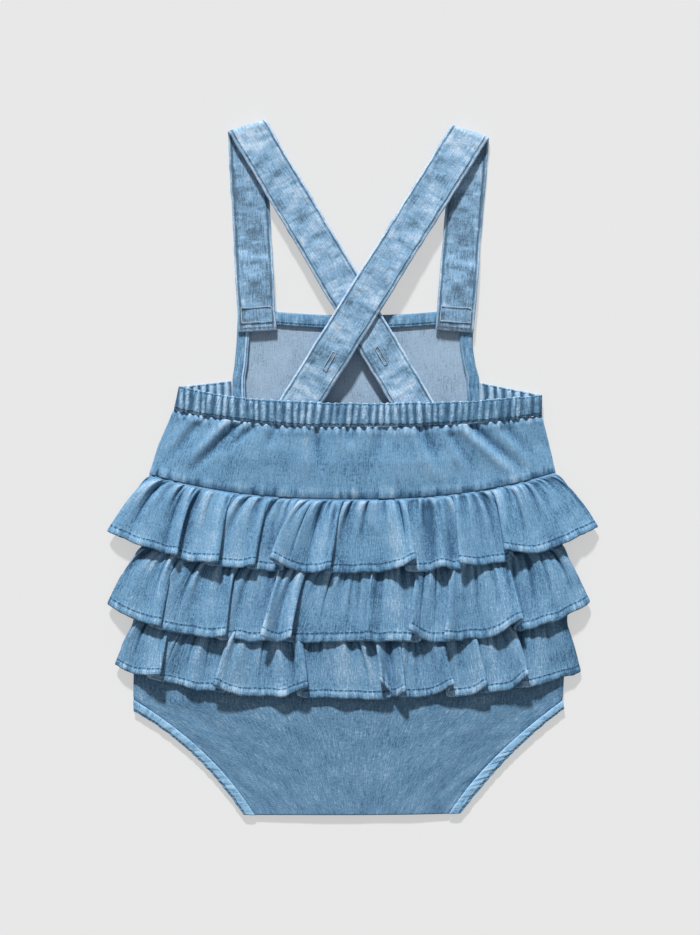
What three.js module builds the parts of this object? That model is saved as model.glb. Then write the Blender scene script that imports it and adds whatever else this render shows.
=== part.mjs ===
// A baby's denim ruffle bodysuit, laid flat on its front with the back uppermost.
// Millimetres. +X is to the right and +Y towards the straps as one looks down on the back; +Z is up,
// and the surface that it lies on is z = 0. The origin is the middle of the box round it, at its base.
// Each piece that a maker would cut and sew is one wall of cloth, a hair clear of its neighbours.
import * as THREE from 'three';
import { mergeVertices } from 'three/addons/utils/BufferGeometryUtils.js';

// ---- Driving sizes ----

const CLOTH = 1.2; // one layer of denim
const GAP = 0.3; // between two pieces at a seam, and between two layers that touch
const CASING = { thick: 2.4, ribs: 46, ribHeight: 0.45 }; // two layers of denim round an elastic
const SIDE_BAND = { thick: 2.0, ribs: 6, ribHeight: 0.35 };
const FACING = { thick: 1.0, width: 8.4, hem: 8.8 }; // inside the bib's sides, and along its top
const BINDING = 2.0; // the thickness of the leg bindings
const STRAP = { width: 25, thick: 2.0, foldRadius: 2.2 };
const BUTTON = { radius: 7, thick: 2.3, dish: 0.6 };
const LAYER_EDGE = CLOTH + GAP; // underside of a back panel where it meets the front at the side

// The lines across the back, from the waist down. Each runs from its left end to its right end, with
// the middle at y = mid; a higher power keeps it level for longer before it turns up to its ends.
// edge and crown are the height of the panel's underside at its ends, and what its middle adds.
const LINES = {
  casingTop: { left: [-109.4, 51.8], mid: 41.3, right: [122.9, 46.7], power: 2.6, edge: 3.2, crown: 5.5 },
  casingBottom: { left: [-112.8, 37.1], mid: 25.9, right: [122.9, 33.4], power: 2.4, edge: 3.2, crown: 5.5 },
  yokeMiddle: { left: [-122.9, 14.1], mid: 2.6, right: [127.4, 15.4], power: 2.4, edge: 1.5, crown: 7 },
  seam1: { left: [-128.6, -4.5], mid: -20.5, right: [131.8, -3.2], power: 2.4, edge: 1.5, crown: 4.5 },
  seam2: { left: [-133.8, -49.9], mid: -60.8, right: [136.3, -48.6], power: 2.6, edge: 1.5, crown: 2 },
  seam3: { left: [-138.2, -94], mid: -103, right: [139.5, -93], power: 2.8, edge: 1.5, crown: 1.5 },
  hip: { left: [-138.9, -148.5], mid: -152, right: [136.3, -149.1], power: 3, edge: 1.5, crown: 1.5 },
  crotch: { left: [-60.8, -222.7], mid: -222.7, right: [63.2, -221.9], power: 2, edge: 1.5, crown: 0.6 },
};

// The leg openings, each a curve with one control point, from the hip to the crotch. inner is where
// the panel ends and the binding begins, and outer is the binding's own edge.
const LEGS = {
  left: {
    inner: [[-138.9, -148.5], [-87, -179.8], [-60.8, -222.7]],
    outer: [[-138.6, -156.2], [-98.6, -177], [-68.2, -222.5]],
  },
  right: {
    inner: [[136.3, -149.1], [85.8, -185.8], [63.2, -221.9]],
    outer: [[137.3, -154.6], [105.6, -176], [70.8, -221.6]],
  },
};

// The bib's sides, from its top down, and how far its top edge dips in the middle.
const BIB = [
  { y: 103, left: -71.7, right: 79.4 },
  { y: 78, left: -73, right: 78.7 },
  { y: 65.5, left: -74.2, right: 80.6 },
  { y: 57.5, left: -75.4, right: 82.9 },
];
const BIB_DIP = 5.4;

// The elastic bands on the front's sides: where each meets the side seam, and where it meets the bib.
const SIDE_BANDS = {
  left: { seam: { x: -109.6, top: 51.6, bottom: 37.2 }, bib: { x: -75.9, top: 55.7, bottom: 40.4 } },
  right: { seam: { x: 122.9, top: 46.5, bottom: 31.6 }, bib: { x: 83.5, top: 54.4, bottom: 39.2 } },
};

// The straps, each one strip folded over at the shoulder: its end on the bib, the middle of its fold
// and its end inside the back waist. heights are how far the lying strip is above where its fold
// leaves it, against the distance past the fold.
const STRAPS = {
  left: {
    bib: [-59.3, 87.2], fold: [-66.2, 216.2], waist: [54.2, 14.1],
    heights: [{ at: 0, z: 0 }, { at: 105, z: 2.1 }, { at: 165, z: 2.1 }, { at: 200, z: 1.7 }, { at: 245, z: 1.2 }],
  },
  right: {
    bib: [66.9, 87.2], fold: [77.2, 212.4], waist: [-47, 14.1],
    heights: [{ at: 0, z: 0 }, { at: 100, z: 4.5 }, { at: 162, z: 4.5 }, { at: 197, z: 1.7 }, { at: 245, z: 1.2 }],
  },
};
const STRAP_ON_BIB = { flat: 27, drop: 30 }; // how far the strap lies on the bib, then comes down over

// The creases of the yoke, from under the casing to the ruffle's seam: soft troughs.
const YOKE_CREASES = [
  { from: [-74, 25], to: [-103, -4], width: 7, depth: 0.9 },
  { from: [-48, 24], to: [-60, 2], width: 9, depth: 0.6 },
  { from: [-16, 22], to: [-9, -10], width: 8, depth: 0.7 },
  { from: [46, 25], to: [60, -4], width: 9, depth: 0.7 },
  { from: [72, 27], to: [112, -4], width: 7, depth: 0.9 },
];

// The ruffles. hem is the line that the hem would follow if it lay flat, and base the height of the
// cloth there between its folds, in the middle and at the ends. Each fold stands at x: the cloth
// climbs over run to a crest of that rise, laps by tuck over what comes next (to the right, or to the
// left where it is negative) and lifts the hem towards the seam. A tuck of 0 is a plain arch.
const RUFFLES = [
  {
    name: 'ruffle_1', seam: 'seam1', base: { mid: 10, end: 5.8 },
    hem: { left: [-155.6, -41], mid: -67.4, right: [158.9, -38.5], power: 2.9 },
    folds: [
      { x: -127, tuck: 0, rise: 3, lift: 0.5, run: 8 },
      { x: -111, tuck: 4, rise: 5, lift: 1, run: 7 },
      { x: -83.8, tuck: 11, rise: 8, lift: 3, run: 14 },
      { x: -61.4, tuck: 5, rise: 6, lift: 3, run: 11 },
      { x: -51.2, tuck: -10, rise: 8, lift: 8, run: 22 },
      { x: -13.5, tuck: 4, rise: 7, lift: 2.5, run: 9 },
      { x: 42, tuck: 8, rise: 9, lift: 8.5, run: 20 },
      { x: 59, tuck: 0, rise: 6, lift: 3.5, run: 7 },
      { x: 70.5, tuck: -4, rise: 6.5, lift: 4, run: 12 },
      { x: 98.6, tuck: -7, rise: 9, lift: 9, run: 20 },
      { x: 137, tuck: 0, rise: 3, lift: 0.5, run: 9 },
    ],
  },
  {
    name: 'ruffle_2', seam: 'seam2', base: { mid: 10, end: 5.8 },
    hem: { left: [-155.5, -88], mid: -111.6, right: [153.8, -86.5], power: 4 },
    folds: [
      { x: -121, tuck: 9, rise: 6, lift: 2, run: 14 },
      { x: -79.4, tuck: 8, rise: 6.5, lift: 3, run: 16 },
      { x: -56.5, tuck: -8, rise: 8, lift: 8, run: 9 },
      { x: -38.5, tuck: 6, rise: 8, lift: 5, run: 8 },
      { x: 9.6, tuck: -4, rise: 5, lift: 2, run: 12 },
      { x: 37.8, tuck: -9, rise: 8, lift: 8.5, run: 13 },
      { x: 60.5, tuck: -4, rise: 5, lift: 2, run: 14 },
      { x: 110, tuck: 6, rise: 9, lift: 9, run: 22 },
      { x: 127, tuck: 0, rise: 3, lift: 0.5, run: 8 },
    ],
  },
  {
    name: 'ruffle_3', seam: 'seam3', base: { mid: 7.6, end: 5 },
    hem: { left: [-150.6, -127], mid: -147.6, right: [148, -131.5], power: 3 },
    folds: [
      { x: -121, tuck: 10, rise: 7, lift: 5, run: 14 },
      { x: -87.5, tuck: -9, rise: 6, lift: 5, run: 20 },
      { x: -27, tuck: 8, rise: 7.5, lift: 7, run: 20 },
      { x: 19.8, tuck: -8, rise: 9, lift: 12, run: 7 },
      { x: 34.5, tuck: 4, rise: 7, lift: 5, run: 6 },
      { x: 65.9, tuck: 5, rise: 7.5, lift: 8, run: 14 },
      { x: 87.5, tuck: 5, rise: 6, lift: 5, run: 10 },
      { x: 114, tuck: 11, rise: 8, lift: 9, run: 13 },
    ],
  },
];
const RUFFLE_COLUMNS = 96;
const RUFFLE_ROWS = 4;
const FOLD_GROWTH = 0.6; // a fold at a share v of the way to the hem has v to this power of its size

// ---- Materials ----

const cloth = (colour) => new THREE.MeshStandardMaterial({ color: colour, roughness: 0.9, metalness: 0 });
const DENIM = cloth(0x6188a7);
const DENIM_WORN = cloth(0x80a4c3);
const DENIM_INSIDE = cloth(0x9fb4c6);
const BUTTON_PLASTIC = new THREE.MeshStandardMaterial({ color: 0xd9d6cc, roughness: 0.35, metalness: 0 });

// ---- Helpers ----

const mix = (a, b, share) => a + (b - a) * share;
const mixPoint = (a, b, share) => [mix(a[0], b[0], share), mix(a[1], b[1], share)];
const clamp = (value) => Math.min(1, Math.max(0, value));
const smooth = (share) => clamp(share) ** 2 * (3 - 2 * clamp(share));

// The point of a line across the back at t, from -1 at its left end to 1 at its right end.
function lineAt(line, t) {
  const end = t < 0 ? line.left : line.right;
  return {
    x: mix(line.left[0], line.right[0], (t + 1) / 2),
    y: mix(line.mid, end[1], Math.abs(t) ** line.power),
  };
}

// The share t of a line at x.
const shareAt = (line, x) => (2 * (x - line.left[0])) / (line.right[0] - line.left[0]) - 1;

// The underside of the panel along a line.
const undersideAt = (line, t) => line.edge + line.crown * (1 - Math.min(1, Math.abs(t)) ** 4);

// A point on a curve with one control point.
const curveAt = ([start, control, end], share) =>
  mixPoint(mixPoint(start, control, share), mixPoint(control, end, share), share);

// A closed wall: surface(u, v) is its middle, for u and v from 0 to 1, with half its thickness either
// side. Its top is the side that faces +Z where it lies flat.
function wall(surface, columns, rows, thick) {
  const step = 1e-4;
  const positions = [];
  const at = (i, j, side) => ((i * (rows + 1) + j) * 2 + side);
  for (let i = 0; i <= columns; i++) {
    for (let j = 0; j <= rows; j++) {
      const [u, v] = [i / columns, j / rows];
      const point = surface(u, v);
      const across = surface(Math.min(1, u + step), v).sub(surface(Math.max(0, u - step), v));
      const down = surface(u, Math.min(1, v + step)).sub(surface(u, Math.max(0, v - step)));
      const normal = down.cross(across).normalize();
      for (const half of [thick / 2, -thick / 2]) {
        const moved = point.clone().addScaledVector(normal, half);
        positions.push(moved.x, moved.y, moved.z);
      }
    }
  }
  const faces = [];
  const quad = (a, b, c, d) => faces.push(a, b, c, a, c, d);
  for (let i = 0; i < columns; i++) {
    for (let j = 0; j < rows; j++) {
      quad(at(i, j, 0), at(i, j + 1, 0), at(i + 1, j + 1, 0), at(i + 1, j, 0));
      quad(at(i, j, 1), at(i + 1, j, 1), at(i + 1, j + 1, 1), at(i, j + 1, 1));
    }
    quad(at(i, 0, 0), at(i + 1, 0, 0), at(i + 1, 0, 1), at(i, 0, 1));
    quad(at(i, rows, 0), at(i, rows, 1), at(i + 1, rows, 1), at(i + 1, rows, 0));
  }
  for (let j = 0; j < rows; j++) {
    quad(at(0, j, 0), at(0, j, 1), at(0, j + 1, 1), at(0, j + 1, 0));
    quad(at(columns, j, 0), at(columns, j + 1, 0), at(columns, j + 1, 1), at(columns, j, 1));
  }
  const geometry = new THREE.BufferGeometry();
  geometry.setAttribute('position', new THREE.Float32BufferAttribute(positions, 3));
  geometry.setIndex(faces);
  return geometry;
}

// A flat piece: its outline, made upright from z to z + thick.
function flatPiece(shape, z, thick, curveSegments = 8) {
  const geometry = new THREE.ExtrudeGeometry(shape, { depth: thick, bevelEnabled: false, curveSegments });
  geometry.translate(0, 0, z);
  geometry.deleteAttribute('normal');
  geometry.deleteAttribute('uv');
  return mergeVertices(geometry);
}

const shapeOf = (points) => new THREE.Shape(points.map(([x, y]) => new THREE.Vector2(x, y)));

const garment = new THREE.Group();
function piece(name, geometry, material) {
  geometry.computeVertexNormals();
  const mesh = new THREE.Mesh(geometry, material);
  mesh.name = name;
  garment.add(mesh);
}

// ---- Front ----

// The bib's outline down one side, from its top to where the elastic band meets it.
const bibSide = (side, inset = 0) =>
  BIB.map((row) => [row[side] + (side === 'left' ? inset : -inset), row.y]);

// A point of the bib's top edge at x, moved down by below.
function bibTopAt(x, below) {
  const share = (2 * (x - BIB[0].left)) / (BIB[0].right - BIB[0].left) - 1;
  return [x, BIB[0].y - BIB_DIP * (1 - share ** 2) - below];
}

// The bib's top edge from left to right, moved down by below.
function bibTop(inset, below, steps = 12) {
  const [from, to] = [BIB[0].left + inset, BIB[0].right - inset];
  return Array.from({ length: steps + 1 }, (_, i) => bibTopAt(mix(from, to, i / steps), below));
}

// One side of the front's body, from below its elastic band down the side seam to the crotch. It lies
// a little inside the back's edge.
function frontSide(side) {
  const inward = side === 'left' ? GAP : -GAP;
  const band = SIDE_BANDS[side];
  const seam = ['casingBottom', 'yokeMiddle', 'seam1', 'seam2', 'seam3', 'hip'].map((name) => LINES[name][side]);
  const leg = Array.from({ length: 11 }, (_, i) => curveAt(LEGS[side].inner, i / 10));
  return [
    [band.bib.x + inward, band.bib.bottom - GAP],
    [seam[0][0] + inward, band.seam.bottom - GAP],
    ...seam.slice(1, -1).map(([x, y]) => [x + inward, y]),
    ...leg.map(([x, y]) => [x + inward, y]),
  ];
}

function frontBody() {
  const left = [...bibSide('left'), ...frontSide('left')];
  const right = [...bibSide('right'), ...frontSide('right')];
  const top = bibTop(0, 0).slice(1, -1).reverse();
  piece('front_body', flatPiece(shapeOf([...left, ...right.reverse(), ...top]), 0, CLOTH), DENIM_INSIDE);
}

function bibHemAndFacings() {
  const height = CLOTH + GAP;
  const outline = [...bibTop(GAP, GAP), ...bibTop(GAP, FACING.hem).reverse()];
  piece('bib_top_hem', flatPiece(shapeOf(outline), height, FACING.thick), DENIM);
  for (const side of ['left', 'right']) {
    const below = (inset) => [
      bibTopAt(bibSide(side, inset)[0][0], FACING.hem + GAP),
      ...bibSide(side, inset).slice(1),
      [BIB.at(-1)[side] + (side === 'left' ? inset : -inset), SIDE_BANDS[side].bib.bottom],
    ];
    const band = [...below(GAP), ...below(FACING.width).reverse()];
    piece(`bib_facing_${side}`, flatPiece(shapeOf(band), height, FACING.thick), DENIM);
  }
}

// The gathered bands of the front's sides. Their ribs run up and down.
function sideBands() {
  for (const [side, { seam, bib }] of Object.entries(SIDE_BANDS)) {
    const [from, to] = side === 'left' ? [seam, bib] : [bib, seam];
    const surface = (u, v) => {
      const rib = SIDE_BAND.ribHeight * Math.sin(Math.PI * SIDE_BAND.ribs * u) ** 2;
      const y = mix(mix(from.top, to.top, u), mix(from.bottom, to.bottom, u), v);
      return new THREE.Vector3(mix(from.x, to.x, u), y, SIDE_BAND.thick / 2 + rib);
    };
    piece(`side_band_${side}`, wall(surface, SIDE_BAND.ribs * 2, 1, SIDE_BAND.thick), DENIM);
  }
}

// ---- Back ----

// A surface through a list of lines across the back, at a height above the panel's underside.
function backSurface(lines, above, start = 0, end = 0) {
  return (u, v) => {
    const t = 2 * u - 1;
    const place = v * (lines.length - 1);
    const first = Math.min(lines.length - 2, Math.floor(place));
    const [upper, lower] = [lines[first], lines[first + 1]];
    const share = place - first;
    const [a, b] = [lineAt(upper, t), lineAt(lower, t)];
    const y = mix(a.y, b.y, share) - mix(start, -end, v);
    return new THREE.Vector3(mix(a.x, b.x, share), y, mix(undersideAt(upper, t), undersideAt(lower, t), share) + above);
  };
}

// How deep the yoke's creases are at a point: each is a trough that fades towards its lower end.
function creaseDepth(x, y) {
  return YOKE_CREASES.reduce((total, { from, to, width, depth }) => {
    const [dx, dy] = [to[0] - from[0], to[1] - from[1]];
    const share = clamp(((x - from[0]) * dx + (y - from[1]) * dy) / (dx * dx + dy * dy));
    const away = Math.hypot(x - mix(from[0], to[0], share), y - mix(from[1], to[1], share));
    return total + depth * (1 - share ** 2) * Math.exp(-((away / width) ** 2) * 4);
  }, 0);
}

function backCasing() {
  const flat = backSurface([LINES.casingTop, LINES.casingBottom], CASING.thick / 2);
  const surface = (u, v) => {
    const point = flat(u, v);
    point.z += CASING.ribHeight * Math.sin(Math.PI * CASING.ribs * u) ** 2;
    return point;
  };
  piece('back_casing', wall(surface, CASING.ribs * 2, 1, CASING.thick), DENIM);
}

function backYoke() {
  const flat = backSurface([LINES.casingBottom, LINES.yokeMiddle, LINES.seam1], CLOTH / 2, GAP, GAP);
  const surface = (u, v) => {
    const point = flat(u, v);
    point.z -= creaseDepth(point.x, point.y);
    return point;
  };
  piece('back_yoke', wall(surface, 20, 5, CLOTH), DENIM);
}

// The lines across the seat below the hip, whose ends follow the leg openings.
function legLines(steps) {
  return Array.from({ length: steps }, (_, i) => {
    const share = (i + 1) / steps;
    return {
      left: curveAt(LEGS.left.inner, share),
      mid: mix(LINES.hip.mid, LINES.crotch.mid, share),
      right: curveAt(LEGS.right.inner, share),
      power: mix(LINES.hip.power, LINES.crotch.power, share),
      edge: mix(LINES.hip.edge, LINES.crotch.edge, share),
      crown: mix(LINES.hip.crown, LINES.crotch.crown, share),
    };
  });
}

function backSeat() {
  const lines = [LINES.seam1, LINES.seam2, LINES.seam3, LINES.hip, ...legLines(5)];
  piece('back_seat', wall(backSurface(lines, CLOTH / 2), 18, lines.length - 1, CLOTH), DENIM);
}

// The bindings of the leg openings, on the back's edge and, under it, on the front's.
function legBindings() {
  for (const side of ['left', 'right']) {
    const inward = side === 'left' ? 1 : -1;
    const band = (z) => (u, v) => {
      const along = side === 'left' ? u : 1 - u;
      const across = mixPoint(curveAt(LEGS[side].outer, along), curveAt(LEGS[side].inner, along), 1 - v);
      return new THREE.Vector3(across[0] - inward * GAP * (1 - v), across[1] - GAP * (1 - v), z);
    };
    piece(`front_binding_${side}`, wall(band(CLOTH / 2), 12, 1, CLOTH), DENIM_WORN);
    piece(`back_binding_${side}`, wall(band(LAYER_EDGE + BINDING / 2), 12, 1, BINDING), DENIM_WORN);
  }
}

// ---- Ruffles ----

// The points that shape a ruffle's hem, from its left end to its right: x across, rise above the base
// and lift of the hem. At each end the cloth turns under.
function hemPoints({ hem, folds }) {
  const turnUnder = (x, inward) => [
    { x: x + inward * 8.5, rise: -3.2, lift: 2.5 },
    { x: x + inward * 4, rise: -3.2, lift: 1.5 },
    { x: x - inward * 1.2, rise: -1.9, lift: 0.5 },
    { x: x + inward * 3, rise: -0.2, lift: 0 },
    { x: x + inward * 10, rise: 0.4, lift: 0 },
  ];
  const fold = ({ x, tuck, rise, lift, run }) => {
    if (tuck === 0) {
      return [-1, -0.5, 0, 0.5, 1].map((place) => {
        const height = (1 - place ** 2) ** 0.8;
        return { x: x + place * run, rise: rise * height, lift: lift * height };
      });
    }
    const size = Math.abs(tuck);
    const steps = [
      { x: -run, rise: 0, lift: 0 },
      { x: -0.5 * run, rise: 0.5, lift: 0.4 },
      { x: -0.12 * run, rise: 1, lift: 0.95 },
      { x: 1.5, rise: 0.85, lift: 1 },
      { x: -0.45 * size, rise: 0.45, lift: 0.65 },
      { x: -size, rise: 0.18, lift: 0.25 },
      { x: -0.55 * size, rise: -0.02, lift: 0 },
      { x: 4, rise: 0, lift: 0 },
    ].map((step) => ({ x: x + Math.sign(tuck) * step.x, rise: rise * step.rise, lift: lift * step.lift }));
    return tuck > 0 ? steps : steps.reverse();
  };
  return [
    ...turnUnder(hem.left[0], 1),
    ...folds.flatMap(fold),
    ...turnUnder(hem.right[0], -1).reverse(),
  ];
}

// A smooth curve guided by points: a uniform cubic B-spline that starts and ends at the end points.
function splineAt(points, share) {
  const place = share * (points.length - 1);
  const first = Math.min(points.length - 2, Math.floor(place));
  const s = place - first;
  const weights = [(1 - s) ** 3, 3 * s ** 3 - 6 * s ** 2 + 4, -3 * s ** 3 + 3 * s ** 2 + 3 * s + 1, s ** 3];
  const sum = { x: 0, rise: 0, lift: 0 };
  weights.forEach((weight, i) => {
    const point = points[Math.min(points.length - 1, Math.max(0, first + i - 1))];
    for (const key of Object.keys(sum)) sum[key] += (weight / 6) * point[key];
  });
  return sum;
}

// The same curve with its samples evenly spaced along the cloth.
function evenHem(points, samples = 900) {
  const line = Array.from({ length: samples + 1 }, (_, i) => splineAt(points, i / samples));
  const along = [0];
  for (let i = 1; i <= samples; i++) {
    const [a, b] = [line[i - 1], line[i]];
    along.push(along[i - 1] + Math.hypot(b.x - a.x, b.rise - a.rise));
  }
  return (share) => {
    const target = share * along[samples];
    const next = Math.min(samples, Math.max(1, along.findIndex((length) => length >= target)));
    const part = (target - along[next - 1]) / (along[next] - along[next - 1]);
    const [a, b] = [line[next - 1], line[next]];
    return { x: mix(a.x, b.x, part), rise: mix(a.rise, b.rise, part), lift: mix(a.lift, b.lift, part) };
  };
}

function ruffle(row) {
  const seam = LINES[row.seam];
  const hemAt = evenHem(hemPoints(row));
  const surface = (u, v) => {
    const hem = hemAt(u);
    const top = lineAt(seam, mix(-0.995, 0.995, u));
    const t = shareAt(row.hem, hem.x);
    const end = Math.min(1, Math.abs(t)) ** 8;
    const seamHeight = undersideAt(seam, shareAt(seam, top.x)) + CLOTH + GAP + CLOTH / 2;
    const base = mix(seamHeight, mix(row.base.mid, row.base.end, end), v);
    const growth = v ** FOLD_GROWTH;
    const rise = hem.rise * (hem.rise < 0 ? v ** 1.5 : growth);
    const hemY = lineAt(row.hem, Math.max(-1, Math.min(1, t))).y + hem.lift;
    return new THREE.Vector3(mix(top.x, hem.x, growth), mix(top.y - 2 * GAP, hemY, v), base + rise);
  };
  piece(row.name, wall(surface, RUFFLE_COLUMNS, RUFFLE_ROWS, CLOTH), DENIM);
}

// ---- Straps and buttons ----

// The height at a distance past the fold, eased between the rows of a strap's heights.
function heightAt(heights, distance) {
  const next = heights.findIndex(({ at }) => at >= distance);
  if (next === -1) return heights.at(-1).z;
  if (next === 0) return heights[0].z;
  const [a, b] = [heights[next - 1], heights[next]];
  return mix(a.z, b.z, smooth((distance - a.at) / (b.at - a.at)));
}

// A strip of cloth that lies from its bib end to its fold, turns over round the fold and lies back
// above itself. The fold's line halves the angle between the two legs, so the strip stays flat cloth.
function strap(name, { bib, fold, waist, heights }) {
  const [start, turn, end] = [bib, fold, waist].map(([x, y]) => new THREE.Vector2(x, y));
  const up = turn.clone().sub(start);
  const down = end.clone().sub(turn);
  const [frontLength, backLength] = [up.length(), down.length()];
  up.normalize();
  const side = new THREE.Vector2(up.y, -up.x);
  const crease = up.clone().add(down.normalize()).normalize();
  const beyond = new THREE.Vector2(-crease.y, crease.x);
  if (beyond.dot(up) < 0) beyond.negate();
  const { width, thick, foldRadius } = STRAP;
  const turnLength = Math.PI * foldRadius;
  const surface = (u, v) => {
    const along = mix(-frontLength, backLength + turnLength, v);
    const flat = up.clone().multiplyScalar(along).addScaledVector(side, mix(-width / 2, width / 2, u));
    const past = flat.dot(beyond);
    const turned = clamp(past / turnLength);
    const out = past <= 0 ? past : foldRadius * Math.sin(Math.PI * turned) - Math.max(0, past - turnLength);
    const lying = 1 - smooth((along + frontLength - STRAP_ON_BIB.flat) / STRAP_ON_BIB.drop);
    const onBib = lying * (CLOTH + FACING.thick + 2 * GAP);
    const lift = past > turnLength ? heightAt(heights, past - turnLength) : 0;
    const z = thick / 2 + onBib + foldRadius * (1 - Math.cos(Math.PI * turned)) + lift;
    const place = turn.clone().addScaledVector(crease, flat.dot(crease)).addScaledVector(beyond, out);
    return new THREE.Vector3(place.x, place.y, z);
  };
  const geometry = wall((u, v) => surface(u, foldSpacing(v, frontLength, backLength, turnLength)), 2, 44, thick);
  piece(name, geometry, DENIM_WORN);
}

// Spaces the strap's sections: an even share of them goes to the fold, where it turns.
function foldSpacing(v, front, back, turn) {
  const whole = front + back + turn;
  const half = STRAP.width * 0.2 + turn;
  const [foldStart, foldEnd] = [(front - half) / whole, (front + half) / whole];
  const [first, last] = [0.25, 0.6];
  if (v < first) return mix(0, foldStart, v / first);
  if (v < last) return mix(foldStart, foldEnd, (v - first) / (last - first));
  return mix(foldEnd, 1, (v - last) / (1 - last));
}

// A dished button, under the strap's end and facing the front.
function button(name, { waist, fold }) {
  const { radius, thick, dish } = BUTTON;
  const profile = [[0, 0], [radius - 1, 0], [radius, 0.7], [radius, thick - 0.5], [radius - 0.6, thick], [0, thick]];
  profile[0][1] = dish;
  profile.splice(1, 0, [radius * 0.55, dish], [radius * 0.75, 0]);
  const geometry = new THREE.LatheGeometry(profile.map(([x, y]) => new THREE.Vector2(x, y)), 24);
  geometry.deleteAttribute('normal');
  geometry.deleteAttribute('uv');
  geometry.rotateX(Math.PI / 2);
  const [x, y] = mixPoint(waist, fold, 0.08);
  geometry.translate(x, y, 3.3);
  piece(name, mergeVertices(geometry), BUTTON_PLASTIC);
}

// ---- The garment ----

frontBody();
bibHemAndFacings();
sideBands();
backSeat();
backYoke();
backCasing();
legBindings();
RUFFLES.forEach(ruffle);
for (const [side, row] of Object.entries(STRAPS)) {
  strap(`strap_${side}`, row);
  button(`button_${side}`, row);
}

// The origin: the middle of the box round the garment, at its base.
const box = new THREE.Box3().setFromObject(garment, true);
const middle = box.getCenter(new THREE.Vector3());
garment.position.set(-middle.x, -middle.y, -box.min.z);

const root = new THREE.Group();
root.add(garment);
export default root;
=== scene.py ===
"""A baby's denim ruffle bodysuit, laid flat on its front: the looks over the packed model.

Shapes are worked out in millimetres in the pattern's own frame, and moved to the packed frame as
each mesh is made. Every cloth is a thin closed shell round a middle surface on a grid.
"""

import math

import bpy
import numpy as np
from bpy.props import FloatProperty, FloatVectorProperty, PointerProperty
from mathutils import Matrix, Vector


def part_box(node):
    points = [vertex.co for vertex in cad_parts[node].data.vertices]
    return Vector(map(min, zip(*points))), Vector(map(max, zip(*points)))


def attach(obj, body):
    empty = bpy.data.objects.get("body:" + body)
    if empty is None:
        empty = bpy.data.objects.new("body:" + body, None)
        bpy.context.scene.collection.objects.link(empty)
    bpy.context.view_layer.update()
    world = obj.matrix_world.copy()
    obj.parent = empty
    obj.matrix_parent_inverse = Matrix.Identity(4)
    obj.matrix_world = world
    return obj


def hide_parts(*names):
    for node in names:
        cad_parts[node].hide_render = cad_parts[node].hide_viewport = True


bl_info = {
    "name": "Denim ruffle bodysuit",
    "version": (1, 0, 0),
    "blender": (4, 5, 0),
    "location": "View3D > Sidebar > Bodysuit",
    "description": "Makes the cloth, the stitching and the studio of a baby's denim bodysuit",
    "category": "Object",
}

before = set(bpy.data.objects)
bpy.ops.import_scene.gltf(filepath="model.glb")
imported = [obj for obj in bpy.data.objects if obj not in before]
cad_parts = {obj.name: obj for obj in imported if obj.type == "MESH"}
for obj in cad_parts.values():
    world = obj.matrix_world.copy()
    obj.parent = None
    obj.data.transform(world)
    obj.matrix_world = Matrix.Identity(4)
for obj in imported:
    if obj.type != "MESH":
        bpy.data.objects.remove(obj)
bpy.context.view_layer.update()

# ---- Sizes in millimetres, as in the pattern ----

CLOTH = 1.2
GAP = 0.3
STRAP_WIDTH = 25.0
FOLD_RADIUS = 2.2
BIB_DIP = 5.4
BIB_TOP = (-71.7, 79.4, 103.0)  # left, right and height of the bib's top corners
HEM_DEPTH = 8.8
FACING_WIDTH = 8.4
SIDE_BAND_HEIGHT = 14
CASING_HEIGHT = 15
YOKE_HEIGHT = 46
RUFFLE_HEIGHT = 47
BINDING_WIDTH = 7.6  # over which the leg bindings' finish runs
CASING_RIDGES, CASING_SPAN, CASING_SEED = 47, 232, 42  # shared with the gathers just below it

# The pattern's origin in the packed frame, found from the left end of the bib's top hem.
OFFSET = np.array([
    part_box("bib_top_hem")[0][0] * 1000 - (BIB_TOP[0] + GAP),
    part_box("front_body")[1][1] * 1000 - BIB_TOP[2],
    0.0,
])

# Lines across the back: left end, y of the middle, right end, power, underside at the ends, and what
# the middle adds to it.
LINES = {
    "casing_top": ((-109.4, 51.8), 41.3, (122.9, 46.7), 2.6, 3.2, 5.5),
    "casing_bottom": ((-112.8, 37.1), 25.9, (122.9, 33.4), 2.4, 3.2, 5.5),
    "yoke_middle": ((-122.9, 14.1), 2.6, (127.4, 15.4), 2.4, 1.5, 7.0),
    "seam_1": ((-128.6, -4.5), -20.5, (131.8, -3.2), 2.4, 1.5, 4.5),
    "seam_2": ((-133.8, -49.9), -60.8, (136.3, -48.6), 2.6, 1.5, 2.0),
    "seam_3": ((-138.2, -94.0), -103.0, (139.5, -93.0), 2.8, 1.5, 1.5),
    "hip": ((-138.9, -148.5), -152.0, (136.3, -149.1), 3.0, 1.5, 1.5),
    "crotch": ((-60.8, -222.7), -222.7, (63.2, -221.9), 2.0, 1.5, 0.6),
}

# Leg openings: start, control and end of the panel's edge, then of the binding's own edge.
LEGS = {
    "left": (
        ((-138.9, -148.5), (-87, -179.8), (-60.8, -222.7)),
        ((-138.6, -156.2), (-98.6, -177), (-68.2, -222.5)),
    ),
    "right": (
        ((136.3, -149.1), (85.8, -185.8), (63.2, -221.9)),
        ((137.3, -154.6), (105.6, -176), (70.8, -221.6)),
    ),
}

# Sides of the bib from its top down: y, left x, right x.
BIB = np.array([
    (103, -71.7, 79.4), (78, -73, 78.7), (65.5, -74.2, 80.6), (57.5, -75.4, 82.9), (39, -75.6, 83.2),
], float)

# Elastic bands of the front's sides: seam x, top and bottom, then bib x, top and bottom.
SIDE_BANDS = {
    "left": ((-109.6, 51.6, 37.2), (-75.9, 55.7, 40.4)),
    "right": ((122.9, 46.5, 31.6), (83.5, 54.4, 39.2)),
}

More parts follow.
